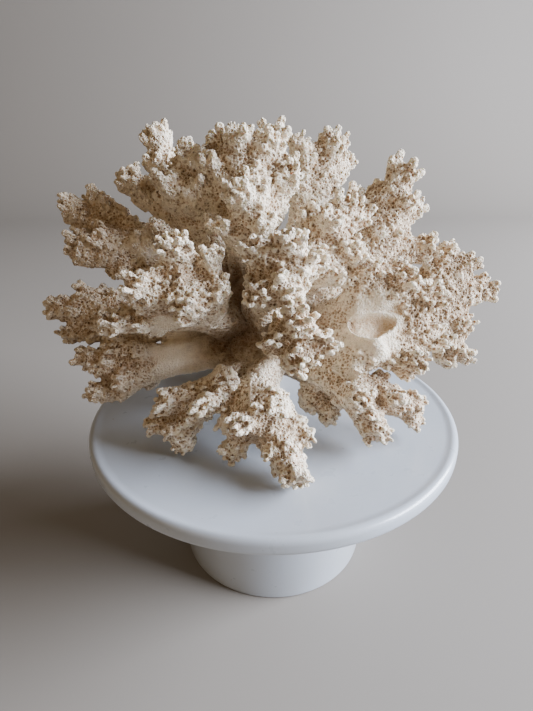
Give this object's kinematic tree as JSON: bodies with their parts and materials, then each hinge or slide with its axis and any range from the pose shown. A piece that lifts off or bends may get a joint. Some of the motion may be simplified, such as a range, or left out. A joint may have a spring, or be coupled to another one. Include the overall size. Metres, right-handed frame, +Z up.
{
  "type": "branching coral",
  "caption": "Bleached branching coral head with flaring knobbly lobes, cut flat at its base and resting on a plain white round cake stand with a hollow foot.",
  "frame": {"origin": "middle of the whole object's box at its lowest level, where the stand's foot meets the table", "axes": "+Z up; -Y towards the picture's viewer; +X to that viewer's right"},
  "size_m": [0.2446, 0.2, 0.239],
  "materials": {
    "bleached_coral": "matte, porous, creamy white with tan staining in its hollows",
    "white_glaze": "satin to gloss white glaze"
  },
  "bodies": {
    "root": {"cake_stand": "white_glaze", "trunk": "bleached_coral", "branch_top": "bleached_coral", "branch_upper_left": "bleached_coral", "branch_top_back": "bleached_coral", "branch_upper_right": "bleached_coral", "branch_left_front": "bleached_coral", "branch_left_high": "bleached_coral", "branch_left": "bleached_coral", "branch_left_low": "bleached_coral", "branch_front_left": "bleached_coral", "branch_front": "bleached_coral", "branch_centre": "bleached_coral", "branch_centre_low": "bleached_coral", "branch_centre_right": "bleached_coral", "branch_right": "bleached_coral", "branch_far_right": "bleached_coral", "branch_front_right": "bleached_coral", "branch_low_middle": "bleached_coral", "branch_back": "bleached_coral", "branch_back_left": "bleached_coral", "branch_back_right": "bleached_coral", "branch_back_middle": "bleached_coral", "branch_back_low_left": "bleached_coral", "branch_back_low_right": "bleached_coral"}
  },
  "joints": []
}
